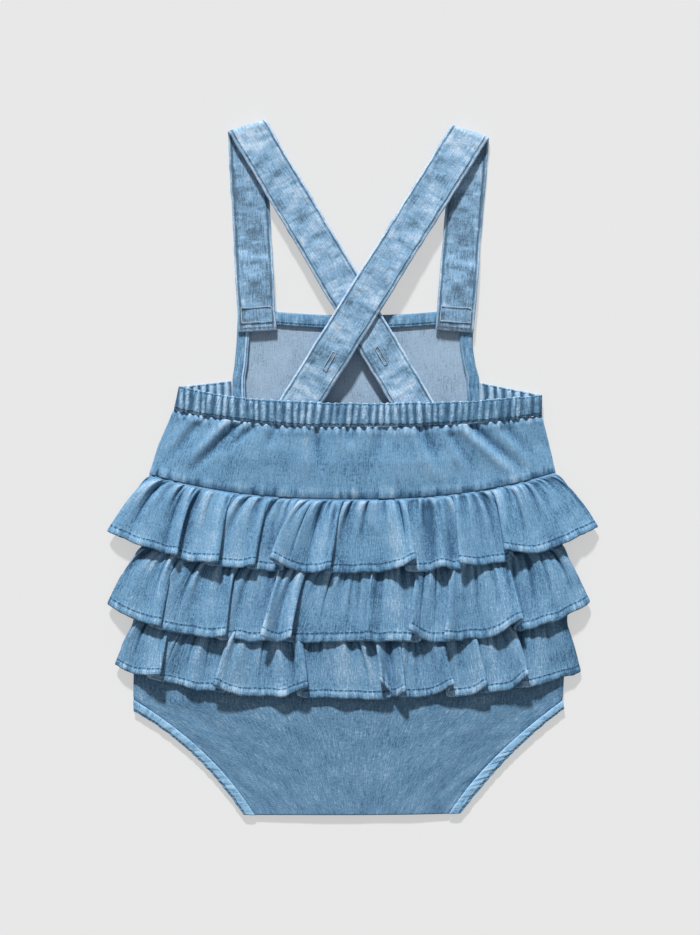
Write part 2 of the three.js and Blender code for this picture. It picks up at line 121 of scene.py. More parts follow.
# Straps: bib end, middle of the fold, waist end, then the height past the fold.
STRAPS = {
    "left": ((-59.3, 87.2), (-66.2, 216.2), (54.2, 14.1), ((0, 105, 165, 200, 245), (0, 2.1, 2.1, 1.7, 1.2))),
    "right": ((66.9, 87.2), (77.2, 212.4), (-47.0, 14.1), ((0, 100, 162, 197, 245), (0, 4.5, 4.5, 1.7, 1.2))),
}

# How far down each strap's back leg its spare buttonhole is.
BUTTONHOLES = {"left": 0.714, "right": 0.727}

# The threads on the straps: their radius, their height at the bib, and at a buttonhole before the
# strap's own rise there.
THREAD_RADIUS, STITCH_HEIGHT, BUTTONHOLE_BASE = 0.26, 5.15, 7.15

# Creases of the yoke: start, end, width, depth. Those of the seat follow.
YOKE_CREASES = (
    ((-74, 25), (-103, -4), 5.5, 1.3), ((-62, 25), (-84, 8), 4.5, 0.6), ((-48, 24), (-52, 12), 5.0, 0.6),
    ((-22, 22), (-18, -6), 6.0, 0.8), ((-2, 22), (1, 12), 5.0, 0.5), ((46, 25), (62, -6), 7.0, 0.8),
    ((66, 20), (81, -4), 5.0, 0.6), ((78, 27), (112, -4), 5.5, 1.3), ((20, 22), (16, 4), 6.0, 0.4),
    ((100, 25), (120, 4), 5.0, 0.6), ((-98, 26), (-116, 4), 5.0, 0.6),
)
SEAT_CREASES = (
    ((-128, -150), (-70, -176), 9.0, 0.5), ((-100, -156), (-50, -205), 10.0, 0.4),
    ((-30, -160), (-22, -215), 14.0, 0.35), ((24, -160), (14, -212), 12.0, 0.35),
    ((60, -205), (98, -158), 10.0, 0.4), ((120, -152), (70, -180), 9.0, 0.5),
)

# Ruffles: seam, height in the middle and at the ends, the flat hem's line (left, middle y, right,
# power), then the folds: x, tuck, rise, lift and run. A tuck below 0 laps to the left.
RUFFLES = {
    "ruffle_1": ("seam_1", 10.0, 5.8, ((-155.6, -41), -67.4, (158.9, -38.5), 2.9), (
        (-127, 0, 3, 0.5, 8), (-111, 4, 5, 1, 7), (-83.8, 11, 8, 3, 14), (-61.4, 5, 6, 3, 11),
        (-51.2, -10, 8, 8, 22), (-13.5, 4, 7, 2.5, 9), (42, 8, 9, 8.5, 20), (59, 0, 6, 3.5, 7),
        (70.5, -4, 6.5, 4, 12), (98.6, -7, 9, 9, 20), (137, 0, 3, 0.5, 9))),
    "ruffle_2": ("seam_2", 10.0, 5.8, ((-155.5, -88), -111.6, (153.8, -86.5), 4.0), (
        (-121, 9, 6, 2, 14), (-79.4, 8, 6.5, 3, 16), (-56.5, -8, 8, 4.5, 9), (-38.5, 6, 8, 2.5, 8),
        (9.6, -4, 5, 2, 12), (37.8, -9, 8, 8.5, 13), (60.5, -4, 5, 2, 14), (110, 6, 9, 9, 22),
        (127, 0, 3, 0.5, 8))),
    "ruffle_3": ("seam_3", 7.6, 5.0, ((-150.6, -127), -147.6, (148, -131.5), 3.0), (
        (-121, 10, 7, 5, 14), (-87.5, -9, 6, 5, 20), (-27, 8, 7.5, 7, 20), (19.8, -8, 9, 12, 7),
        (34.5, 4, 7, 5, 6), (65.9, 5, 7.5, 8, 14), (87.5, 5, 6, 5, 10), (114, 11, 8, 9, 13))),
}


def rgb(red, green, blue):
    """A colour given as 0 to 255 screen values, as the linear values that shaders use."""
    screen = np.array([red, green, blue]) / 255
    return tuple(np.where(screen <= 0.04045, screen / 12.92, ((screen + 0.055) / 1.055) ** 2.4).tolist())


# ---- Shapes ----


def mix(a, b, share):
    """a where share is 0 and b where it is 1."""
    return a + (b - a) * share


def smooth(share):
    """An eased step: level at 0 and at 1."""
    share = np.clip(share, 0, 1)
    return share * share * (3 - 2 * share)


def ripple(place, spacing, seed):
    """Soft uneven waves along a line: random heights at every spacing, joined by eased steps."""
    heights = np.random.default_rng(seed).uniform(-1, 1, 4000)
    cell = np.asarray(place, float) / spacing + 1500
    first = np.floor(cell).astype(int)
    return mix(heights[first], heights[first + 1], smooth(cell - first))


def patches(x, y, spacing, seed):
    """Soft uneven bumps over a surface: random heights on a square net, joined by eased steps."""
    heights = np.random.default_rng(seed).uniform(-1, 1, (300, 300))
    across, along = np.asarray(x) / spacing + 120, np.asarray(y) / spacing + 120
    i, j = np.floor(across).astype(int), np.floor(along).astype(int)
    s, t = smooth(across - i), smooth(along - j)
    return mix(mix(heights[i, j], heights[i + 1, j], s), mix(heights[i, j + 1], heights[i + 1, j + 1], s), t)


def line_at(line, t):
    """x, y of a line across the back at t from -1 to 1: x evenly, y rising from its middle by |t|^power."""
    (x0, y0), mid, (x1, y1), power = line[:4]
    return mix(x0, x1, (t + 1) / 2), mix(mid, np.where(t < 0, y0, y1), np.abs(t) ** power)


def share_at(line, x):
    """The t of a line across the back at x."""
    return 2 * (x - line[0][0]) / (line[2][0] - line[0][0]) - 1


def underside(line, t):
    """Height of the panel's underside: the ends' height, and more in the middle by 1 - t^4."""
    return line[4] + line[5] * (1 - np.minimum(1, np.abs(t)) ** 4)


def bend_at(points, share):
    """x, y on a curve with one control point, by two steps of mixing."""
    share = np.asarray(share, float)[..., None]
    a, b, c = (np.array(p, float) for p in points)
    return mix(mix(a, b, share), mix(b, c, share), share)


def grid(columns, rows):
    """u across and v down, from 0 to 1, on a net of columns by rows cells."""
    return np.meshgrid(np.linspace(0, 1, columns + 1), np.linspace(0, 1, rows + 1), indexing="ij")


def lengths(points, axis):
    """Distance along the cloth from its first row or column, on the grid."""
    steps = np.linalg.norm(np.diff(points, axis=axis), axis=-1)
    start = np.zeros_like(np.take(steps, [0], axis=axis))
    return np.concatenate([start, np.cumsum(steps, axis=axis)], axis=axis)


def crease_depth(x, y, creases):
    """Sum of troughs: each fades along its line by 1 - share^2, and across it as a bell with a ridge beside."""
    total = np.zeros_like(x)
    for (x0, y0), (x1, y1), width, depth in creases:
        dx, dy = x1 - x0, y1 - y0
        length = math.hypot(dx, dy)
        share = np.clip(((x - x0) * dx + (y - y0) * dy) / length**2, 0, 1)
        across = ((x - x0) * dy - (y - y0) * dx) / length
        past = np.hypot(x - mix(x0, x1, share), y - mix(y0, y1, share))
        trough = np.exp(-((past / width) ** 2) * 3)
        ridge = 0.7 * np.exp(-(((past - width * 1.1) / width) ** 2) * 3) * (across > 0)
        total += depth * (1 - share**2) * (trough - ridge)
    return total


def back_surface(lines, u, v, start=0.0, end=0.0):
    """Points between lines across the back: x and y mixed between the two lines round v, z their undersides.

    start and end move the first row down and the last row up by that much.
    """
    t = 2 * u - 1
    place = v * (len(lines) - 1)
    first = np.minimum(len(lines) - 2, np.floor(place)).astype(int)
    share = place - first
    xs, ys, zs = (np.empty((len(lines),) + u.shape) for _ in range(3))
    for i, line in enumerate(lines):
        xs[i], ys[i] = line_at(line, t)
        zs[i] = underside(line, t)

    def between(rows):
        above, below = (np.take_along_axis(rows, (first + step)[None], 0)[0] for step in (0, 1))
        return mix(above, below, share)

    return between(xs), between(ys) - mix(start, -end, v), between(zs)


def shell(name, middle, thick, edge=None, wear_and_shade=None):
    """A closed cloth: the middle points moved half the thickness along the normals each way, and a rim.

    UV is the distance along the cloth in metres, each column as one thread; the attribute edge is the
    distance in millimetres from the nearest finished edge, and wear is how far a point stands proud,
    from -1 to 1. The thickness tapers to half at the rim, which rounds it.
    """
    across, down = np.gradient(middle, axis=0), np.gradient(middle, axis=1)
    normal = np.cross(down, across)
    normal /= np.maximum(np.linalg.norm(normal, axis=-1, keepdims=True), 1e-9)
    n, m = middle.shape[:2]
    width, length = lengths(middle, 0), lengths(middle, 1)
    rim = np.minimum.reduce([width, width[-1:] - width, length, length[:, -1:] - length])
    half = np.broadcast_to(thick, (n, m)) / 2 * (0.55 + 0.45 * np.sqrt(np.clip(rim / 0.7, 0, 1)))
    sides = [middle + normal * half[..., None], middle - normal * half[..., None]]
    points = np.concatenate([s.reshape(-1, 3) for s in sides])
    index = np.arange(n * m).reshape(n, m)
    a, b, c, d = index[:-1, :-1], index[:-1, 1:], index[1:, 1:], index[1:, :-1]
    top = np.stack([a, b, c, d], -1).reshape(-1, 4)
    bottom = np.stack([a, d, c, b], -1).reshape(-1, 4) + n * m
    border = np.concatenate([index[:, 0], index[-1, 1:], index[-2::-1, -1], index[0, -2:0:-1]])
    after = np.roll(border, -1)
    walls = np.stack([border, after, after + n * m, border + n * m], -1)
    faces = np.concatenate([top, bottom, walls])
    mesh = bpy.data.meshes.new(name)
    mesh.vertices.add(len(points))
    mesh.vertices.foreach_set("co", ((points + OFFSET) / 1000).ravel())
    mesh.loops.add(faces.size)
    mesh.loops.foreach_set("vertex_index", faces.ravel())
    mesh.polygons.add(len(faces))
    mesh.polygons.foreach_set("loop_start", np.arange(0, faces.size, 4))
    mesh.polygons.foreach_set("use_smooth", np.ones(len(faces), bool))
    mesh.update(calc_edges=True)
    thread = np.broadcast_to(width.mean(axis=1, keepdims=True), (n, m))
    place = np.stack([thread, length], -1).reshape(-1, 2) / 1000
    mesh.uv_layers.new(name="cloth").data.foreach_set("uv", np.tile(place, (2, 1))[faces.ravel()].ravel())
    from_edge = mesh.attributes.new("edge", "FLOAT", "POINT")
    from_edge.data.foreach_set("value", np.tile((rim if edge is None else edge).ravel(), 2))
    proud = mesh.attributes.new("wear_and_shade", "FLOAT", "POINT")
    proud.data.foreach_set("value", np.tile(np.broadcast_to(0.0 if wear_and_shade is None else wear_and_shade, (n, m)).ravel(), 2))
    piece = bpy.data.objects.new(name, mesh)
    bpy.context.collection.objects.link(piece)
    corner = middle[:-1, :-1]
    cells = np.linalg.norm(np.cross(middle[1:, :-1] - corner, middle[:-1, 1:] - corner), axis=-1)
    size = (float(width[-1].max()) / 1000, float(length[:, -1].max()) / 1000)
    return piece, size, float(cells.sum()) / 1e6


def cloth(name, middle, thick, material, edge=None, wear_and_shade=None):
    """Makes a shell of cloth, gives it its finish and declares it as a sheet of its own cut.

    trims are the narrow bands sewn to it, which are declared with it.
    """
    piece, (width, length), area = shell(name, middle, thick, edge, wear_and_shade)
    piece.data.materials.append(material)
    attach(piece, "root")
    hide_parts(name.removesuffix("_cloth"))
    print(f"SHEET {piece.name} {width * 1000:.0f} x {length * 1000:.0f} mm, {area * 1e4:.0f} cm2")
    return piece


# ---- Materials ----


class Value:
    """A shader socket that takes part in sums: each operator adds a Math node."""

    def __init__(self, shader, socket):
        self.shader, self.socket = shader, socket

    def _math(self, operation, *values):
        return self.shader.node("ShaderNodeMath", {"operation": operation}, dict(enumerate(values)))

    def __add__(self, other):
        return self._math("ADD", self, other)

    def __sub__(self, other):
        return self._math("SUBTRACT", self, other)

    def __rsub__(self, other):
        return self._math("SUBTRACT", other, self)

    def __mul__(self, other):
        return self._math("MULTIPLY", self, other)

    def __truediv__(self, other):
        return self._math("DIVIDE", self, other)

    __radd__, __rmul__ = __add__, __mul__

    def size(self):
        return self._math("ABSOLUTE", self)

    def wave(self):
        return self._math("SINE", self)

    def over(self, limit):
        return self._math("GREATER_THAN", self, limit)

    def eased(self, low, high, start=0.0, end=1.0):
        """start below low, end above high, and an eased step between."""
        settings = {"interpolation_type": "SMOOTHSTEP"}
        return self.shader.node("ShaderNodeMapRange", settings, {0: self, 1: low, 2: high, 3: start, 4: end})


class Shader:
    """One material's nodes."""

    def __init__(self, name):
        self.material = bpy.data.materials.new(name)
        self.material.use_nodes = True
        self.tree = self.material.node_tree
        self.surface = self.tree.nodes["Principled BSDF"]

    def node(self, kind, settings=None, inputs=None, output=0):
        """Adds a node: its settings first, then the values or links of its sockets. Gives one output."""
        made = self.tree.nodes.new(kind)
        for key, setting in (settings or {}).items():
            setattr(made, key, setting)
        for key, value in (inputs or {}).items():
            self.put(made.inputs[key], value)
        return Value(self, made.outputs[output])

    def put(self, socket, value):
        """Links a Value to a socket, or sets the socket's own number or colour."""
        if isinstance(value, Value):
            self.tree.links.new(value.socket, socket)
        elif socket.type == "RGBA":
            socket.default_value = (*value, 1.0)
        else:
            socket.default_value = value

    def noise(self, place, scale, detail=3.0, rough=0.55):
        """Noise of a scale, in cells per metre."""
        inputs = {"Vector": place, "Scale": scale, "Detail": detail, "Roughness": rough}
        return self.node("ShaderNodeTexNoise", {}, inputs)

    def stretched(self, place, x, y, z=1.0):
        """The place with its axes scaled."""
        return self.node("ShaderNodeMapping", {}, {"Vector": place, "Scale": (x, y, z)})

    def blend(self, share, a, b, kind="MIX"):
        """Two colours mixed."""
        return self.node("ShaderNodeMix", {"data_type": "RGBA", "blend_type": kind}, {0: share, 6: a, 7: b}, 2)

    def finish(self, colour, roughness, height, depth, strength=1.0):
        """Links the colour, the roughness and a bump of that depth in metres."""
        self.put(self.surface.inputs["Base Color"], colour)
        self.put(self.surface.inputs["Roughness"], roughness)
        bump = self.node("ShaderNodeBump", {}, {"Height": height, "Distance": depth, "Strength": strength})
        self.put(self.surface.inputs["Normal"], bump)
        self.surface.inputs["Specular IOR Level"].default_value = 0.18
        return self.material


def denim(name, colour, pale, dark, stitches=(5.0,), pucker=1.0, worn=1.0, overlock=0.0):
    """Denim: twill and slubs along the cloth, mottled wear, pale worn edges, and sunk rows of stitches.

    stitches are the rows' distances from the finished edge in millimetres; overlock is the width of a
    pale zigzag along that edge.
    """
    shader = Shader(name)
    place = shader.node("ShaderNodeUVMap", {"uv_map": "cloth"})
    apart = shader.tree.nodes.new("ShaderNodeSeparateXYZ")
    shader.put(apart.inputs[0], place)
    along = Value(shader, apart.outputs[0])
    edge = shader.node("ShaderNodeAttribute", {"attribute_name": "edge"}, output=2)
    wear_and_shade = shader.node("ShaderNodeAttribute", {"attribute_name": "wear_and_shade"}, output=2)
    down = Value(shader, apart.outputs[1])
    twill = ((along * 0.8 + down) * (2 * math.pi / 0.00125)).wave() * 0.5 + 0.5
    slub = shader.noise(shader.stretched(place, 1500, 130), 1.0, 2.0)
    weft = shader.noise(shader.stretched(place, 160, 1300), 1.0, 2.0)
    cloud = shader.noise(place, 55.0, 4.0, 0.6)
    fleck = shader.noise(shader.stretched(place, 1.0, 0.6), 1000.0, 3.0, 0.75)
    gather = shader.noise(shader.stretched(place, 230, 40), 1.0, 3.0)
    near = edge.eased(3.5, 8.0, 1.0, 0.0)
    rim = edge.eased(0.2, 1.9, 1.0, 0.0)
    height = slub * 0.3 + weft * 0.2 + twill * 0.1 + gather * near * (1.6 * pucker)
    tone = (slub - 0.5) * 1.0 + (weft - 0.5) * 0.35 + (cloud - 0.5) * 0.8
    tone = tone + (fleck - 0.5) * 1.25 + (twill - 0.5) * 0.05
    # Near the edges the puckers' own bump noise paints their crests lighter and their dips darker: partly real
    # roping wear, partly painted light and painted shade.
    tone = tone + (gather - 0.5) * near * (1.7 * pucker) + 0.42
    # Pale worn edges, then the cloth's attribute for wear and painted light: proud points lighter and sunk ones
    # darker, partly real wear on ridges and partly painted highlight and painted shade in folds and creases.
    tone = tone + rim * (0.16 * worn) + wear_and_shade * 0.4
    row = None
    for distance in stitches:
        groove = (edge - distance).size().eased(0.25, 0.85, 1.0, 0.0)
        row = groove if row is None else row + groove
        beside = (edge - (distance - 1.6)).size().eased(0.2, 1.2, 1.0, 0.0)
        tone = tone + beside * (0.12 * worn)
    # The rows' grooves are painted darker, as painted shade in the sunk stitching, a little less so at the
    # thread's dashes.
    if row is not None:
        dash = (along * (2 * math.pi / 0.0029)).wave().eased(-0.3, 0.3)
        tone = tone - row * (0.42 - dash * 0.26)
        height = height - row * (1.4 - dash * 0.9)
    if overlock:
        zigzag = ((along * (2 * math.pi / 0.0026)).wave() * (overlock * 0.36) + overlock * 0.5 - edge).size()
        thread = zigzag.eased(0.25, 0.75, 1.0, 0.0) * edge.eased(overlock, overlock + 0.4, 1.0, 0.0)
        tone = tone + thread * 0.9 - edge.eased(overlock, overlock + 0.6, 1.0, 0.0) * 0.12
        height = height + thread * 1.2
    shade = shader.blend(tone.eased(0.0, 0.45), dark, colour)
    shade = shader.blend(tone.eased(0.42, 1.0), shade, pale)
    return shader.finish(shade, 0.88 - slub * 0.1, height, 0.00045, 0.75)


def plastic(name, colour):
    """Smooth plastic, faintly clouded."""
    shader = Shader(name)
    place = shader.node("ShaderNodeTexCoord", {}, {}, 3)
    cloud = shader.noise(place, 300.0)
    shade = shader.blend(cloud, tuple(0.92 * c for c in colour), colour)
    return shader.finish(shade, 0.3 + cloud * 0.1, cloud, 0.00003)


def finishes():
    """The denims, from the colours in the panel. Each is made once."""
    if "denim_yoke" in bpy.data.materials:
        return bpy.data.materials
    colours = bpy.context.scene.bodysuit_colours
    face, worn, inside, dark = (np.array(c) for c in (colours.face, colours.worn, colours.inside, colours.dark))
    shades = {"yoke": 1.32, "seat": 0.98, "ruffle_1": 1.22, "ruffle_2": 1.12, "ruffle_3": 1.06}
    for name, factor in shades.items():
        tint = tuple((face * factor).tolist())
        rows = {"yoke": (), "seat": ()}.get(name, (5.0,))
        puckers = {"yoke": 0.9, "seat": 0.5}.get(name, 1.1)
        denim(f"denim_{name}", tint, tuple(worn), tuple(dark * factor), rows, puckers)
    denim("denim_casing", tuple(face), tuple(worn * 1.1), tuple(dark), (1.3,), 0.7, 0.8)
    strap_shades = (face * (1.9, 1.6, 1.5), worn * (1.4, 1.25, 1.18), face * (0.85, 0.7, 0.66))
    denim("denim_strap", *(tuple(shade) for shade in strap_shades), (2.0,), 1.0, 1.2)
    denim("denim_binding", tuple(face * (2.0, 1.75, 1.6)), tuple(worn * 1.05), tuple(dark * 1.8), (6.3,), 0.8)
    denim("denim_wrong_side", tuple(inside), tuple(inside * 1.3), tuple(inside * 0.55), (), 0.2)
    denim("denim_facing", tuple(face * 1.15), tuple(worn * 1.25), tuple(dark * 1.4), (), 0.7, 0.8, 3.0)
    denim("denim_hem", tuple(face * 1.15), tuple(worn * 1.1), tuple(dark * 1.4), (1.4,), 1.0, 1.2)
    plastic("button_plastic", (0.7, 0.68, 0.6))
    return bpy.data.materials


# ---- Pieces ----


def bib_top_at(x, below):
    """y of the bib's top edge at x: its corners' height, less a dip of 1 - share^2."""
    share = (2 * x - BIB_TOP[0] - BIB_TOP[1]) / (BIB_TOP[1] - BIB_TOP[0])
    return BIB_TOP[2] - BIB_DIP * (1 - share**2) - below


def make_front():
    """The front with its bib: rows of y from the bib's top to the crotch, each from left edge to right edge."""
    left = [tuple(p) for p in BIB[:, [0, 1]]]
    right = [tuple(p) for p in BIB[:, [0, 2]]]
    for side, rows in (("left", left), ("right", right)):
        inward = GAP if side == "left" else -GAP
        ends = [LINES[k][0 if side == "left" else 2] for k in ("yoke_middle", "seam_1", "seam_2", "seam_3")]
        seam = SIDE_BANDS[side][0]
        rows.append((seam[2] - GAP, seam[0] + inward * 2))
        rows += [(y, x + inward) for x, y in ends]
        rows += [(y, x + inward) for x, y in bend_at(LEGS[side][0], np.linspace(0, 1, 12))]
    left, right = np.array(left), np.array(right)
    part = np.linspace(0, 1, len(left))
    u, v = grid(90, 150)
    xl, xr = (np.interp(v, part, rows[:, 1]) for rows in (left, right))
    yl, yr = (np.interp(v, part, rows[:, 0]) for rows in (left, right))
    x, y = mix(xl, xr, u), mix(yl, yr, u)
    y -= BIB_DIP * (1 - (2 * u - 1) ** 2) * np.clip(1 - v * 14, 0, 1)
    lift = 0.22 * (1 + patches(x, y, 16, 5)) * smooth((y + 20) / 30) * smooth(np.minimum(u, 1 - u) * 12)
    middle = np.stack([x, y, CLOTH / 2 - 0.3 + lift * 0.5], -1)
    cloth("front_body_cloth", middle, CLOTH - 0.6, finishes()["denim_wrong_side"])


def make_bib_edges():
    """The bib's turned top hem and its side facings: bands inside the bib's edge, a little puckered."""
    u, v = grid(220, 10)
    x = mix(BIB_TOP[0] + GAP, BIB_TOP[1] - GAP, u)
    y = bib_top_at(x, 0) - mix(GAP, HEM_DEPTH - GAP, v)
    belly = np.sin(math.pi * v)
    z = CLOTH + GAP + 0.5 + 0.18 * ripple(x + 0.4 * y, 2.6, 21) * belly + 0.35 * belly**0.5
    cloth("bib_top_hem_cloth", np.stack([x, y, z], -1), 0.8, finishes()["denim_hem"],
          edge=(1 - v) * HEM_DEPTH)
    for side in ("left", "right"):
        column, inward = (1, 1) if side == "left" else (2, -1)
        u, v = grid(12, 90)
        y = mix(bib_top_at(BIB[0, column] + inward * 4, HEM_DEPTH + GAP), SIDE_BANDS[side][1][2], v)
        outer = np.interp(-y, -BIB[:, 0], BIB[:, column])
        from_edge = u if side == "left" else 1 - u
        wobble = 0.5 * ripple(y, 11, 31) * from_edge
        x = outer + inward * (GAP + from_edge * (FACING_WIDTH - GAP)) + wobble
        z = CLOTH + GAP + 0.45 + 0.3 * np.sin(math.pi * u) + 0.12 * ripple(y, 3.0, 33)
        cloth(f"bib_facing_{side}_cloth", np.stack([x, y, z], -1), 0.8, finishes()["denim_facing"],
              edge=(1 - from_edge) * FACING_WIDTH)
        seam, bib = SIDE_BANDS[side]
        start, end = (seam, bib) if side == "left" else (bib, seam)
        u, v = grid(150, 14)
        ribs = np.abs(np.cos(math.pi * (6.5 * u + 0.25 * ripple(u * 40, 7, 35)))) ** 3
        x = mix(start[0], end[0], u) + 0.4 * (v - 0.5)
        y = mix(mix(start[1], end[1], u), mix(start[2], end[2], u), v) + 0.5 * (ribs - 0.5) * (1 - 2 * v)
        z = 1.0 + 0.9 * ribs * np.sin(math.pi * mix(0.08, 0.92, v)) ** 0.5
        # The ribs are painted lighter and the dips between them darker: partly real wear, partly painted light
        # and painted shade.
        cloth(f"side_band_{side}_cloth", np.stack([x, y, z], -1), 1.6, finishes()["denim_casing"],
              edge=np.minimum(v, 1 - v) * SIDE_BAND_HEIGHT, wear_and_shade=2.3 * ribs - 0.75)


def pleats(x, count, span, seed):
    """Ridges of a gathered band: an uneven wave of count ridges over span."""
    phase = x / span * count + 0.32 * ripple(x, span / count * 1.3, seed)
    return np.abs(np.cos(math.pi * phase)) ** 3


def make_casing():
    """The back's elastic casing: a thick band between its two lines, pleated across by the elastic."""
    u, v = grid(700, 16)
    x, y, z = back_surface([LINES["casing_top"], LINES["casing_bottom"]], u, v)
    lean = 1.6 * ripple(x, 22, 41) * (v - 0.5)
    ridge = pleats(x + lean, CASING_RIDGES, CASING_SPAN, CASING_SEED) * (0.75 + 0.25 * ripple(x, 9, 43))
    belly = np.sin(math.pi * mix(0.06, 0.94, v)) ** 0.5
    z = z + 1.0 + 1.5 * ridge * belly + 0.5 * belly
    y = y + (0.55 * (ridge - 0.5) + 0.5 * ripple(x, 13, 44)) * (1 - 2 * v)
    # The ridges are painted lighter and the valleys darker, more so across the middle of the band: partly real
    # wear on the ridges, partly painted light and painted shade.
    cloth("back_casing_cloth", np.stack([x, y, z], -1), 1.7, finishes()["denim_casing"],
          edge=np.minimum(v, 1 - v) * CASING_HEIGHT,
          wear_and_shade=(1.9 * ridge - 0.85) * (0.4 + 0.6 * belly))


def make_yoke():
    """The upper back: a nearly level panel with creases, gathered along the casing and the ruffle's seam."""
    u, v = grid(460, 54)
    x, y, z = back_surface([LINES["casing_bottom"], LINES["yoke_middle"], LINES["seam_1"]], u, v, 0.2, GAP)
    above, below = v * YOKE_HEIGHT, (1 - v) * YOKE_HEIGHT
    top, low = np.exp(-((above / 6.5) ** 1.3)), np.exp(-((below / 6) ** 1.3))
    folds = pleats(x + 0.15 * y, CASING_RIDGES, CASING_SPAN, CASING_SEED)
    gathers = 1.5 * (folds - 0.3) * top + ripple(x, 2.8, 52) * low
    broad = 0.45 * patches(x, y, 15, 53) * np.sin(math.pi * v) ** 0.7
    roll = -1.6 * np.exp(-((above / 2.5) ** 2)) - 1.3 * np.exp(-((below / 2.2) ** 2))
    creases = crease_depth(x, y, YOKE_CREASES)
    z = z + CLOTH / 2 + 0.5 - 1.9 * creases + gathers + broad + roll * 0.5
    # The creases are painted darker as painted shade; the gathers and broad bumps are lighter where raised,
    # partly real wear and partly painted light.
    cloth("back_yoke_cloth", np.stack([x, y, z], -1), 1.0, finishes()["denim_yoke"],
          edge=np.minimum(above, below),
          wear_and_shade=0.6 * gathers - 0.75 * creases + 0.3 * broad)


def make_seat():
    """The seat, from the first ruffle's seam to the crotch: its ends follow the leg openings below the hip."""
    low = []
    for share in np.linspace(0.1, 1, 10):
        ends = [tuple(bend_at(LEGS[side][0], share)) for side in ("left", "right")]
        values = [mix(a, b, share) for a, b in zip((-152.0, 3.0, 1.5, 1.5), (-222.7, 2.0, 1.5, 0.6))]
        low.append((ends[0], values[0], ends[1], *values[1:]))
    lines = [LINES[k] for k in ("seam_1", "seam_2", "seam_3", "hip")] + low
    u, v = grid(170, 150)
    x, y, z = back_surface(lines, u, v)
    inside = smooth(np.minimum(u, 1 - u) * 14)
    z = z + CLOTH / 2 - crease_depth(x, y, SEAT_CREASES) * inside + 0.35 * patches(x, y, 19, 61) * inside
    side = np.minimum(u, 1 - u) * 250
    edge = np.where(y < -150, side, 30.0)
    z = z + 0.3 * ripple(y + x, 3.4, 62) * np.exp(-((side / 4) ** 2)) * (y < -150)
    cloth("back_seat_cloth", np.stack([x, y, z], -1), 1.0, finishes()["denim_seat"],
          edge=edge)


def make_bindings():
    """The leg bindings: bands from the panel's edge to their own, rounded and puckered by the elastic."""
    for side in ("left", "right"):
        inward = 1 if side == "left" else -1
        inner, outer = LEGS[side]
        for layer, base, thick in (("back", CLOTH + GAP, 1.5), ("front", 0.0, 1.0)):
            u, v = grid(240, 10)
            along = u if side == "left" else 1 - u
            edge = bend_at(inner, along) - np.array([inward * 0.15, 0.15])
            points = mix(edge, bend_at(outer, along), v[..., None])
            pucker = ripple(along * 112, 2.7, 71) * (layer == "back")
            belly = np.sin(math.pi * mix(0.06, 0.94, v)) ** 0.6
            z = base + thick / 2 + (0.8 * belly * (layer == "back")) + 0.18 * pucker * belly
            points[..., 0] -= inward * 0.15 * pucker * v
            points[..., 1] -= 0.15 * pucker * v
            middle = np.concatenate([points, z[..., None]], -1)
            cloth(f"{layer}_binding_{side}_cloth", middle, thick, finishes()["denim_binding"],
                  edge=v * BINDING_WIDTH)


def hem_points(hem, folds):
    """Points that guide a ruffle's hem from left to right: x, rise and lift, with the ends turned under."""
    def turned(x, inward):
        steps = ((8.5, -3.2, 2.5), (4, -3.2, 1.5), (-1.2, -1.9, 0.5), (3, -0.2, 0), (10, 0.4, 0))
        return [(x + inward * a, rise, lift) for a, rise, lift in steps]

    rows = turned(hem[0][0], 1)
    for x, tuck, rise, lift, run in folds:
        if tuck == 0:
            places = np.array([-1, -0.5, 0, 0.5, 1])
            tall = (1 - places**2) ** 0.8
            rows += list(zip(x + places * run, rise * tall, lift * tall))
            continue
        size, sign = abs(tuck), math.copysign(1, tuck)
        steps = ((-run, 0, 0), (-0.5 * run, 0.5, 0.4), (-0.12 * run, 1, 0.95), (1.5, 0.85, 1),
                 (-0.45 * size, 0.45, 0.65), (-size, 0.18, 0.25), (-0.55 * size, -0.02, 0), (4, 0, 0))
        fold = [(x + sign * a, rise * b, lift * c) for a, b, c in steps]
        rows += fold if tuck > 0 else fold[::-1]
    return np.array(rows + turned(hem[2][0], -1)[::-1], float)


def hem_curve(points, shares):
    """A cubic B-spline guided by the points, sampled at even shares of the cloth's length."""
    place = np.linspace(0, len(points) - 1, 6001)
    first = np.minimum(len(points) - 2, np.floor(place)).astype(int)
    s = (place - first)[:, None]
    weights = ((1 - s) ** 3, 3 * s**3 - 6 * s**2 + 4, -3 * s**3 + 3 * s**2 + 3 * s + 1, s**3)
    near = [points[np.clip(first + step, 0, len(points) - 1)] for step in (-1, 0, 1, 2)]
    curve = sum(weight * point for weight, point in zip(weights, near)) / 6
    along = np.concatenate([[0], np.cumsum(np.hypot(*np.diff(curve[:, :2], axis=0).T))])
    return [np.interp(shares * along[-1], along, curve[:, k]) for k in range(3)], shares * along[-1]


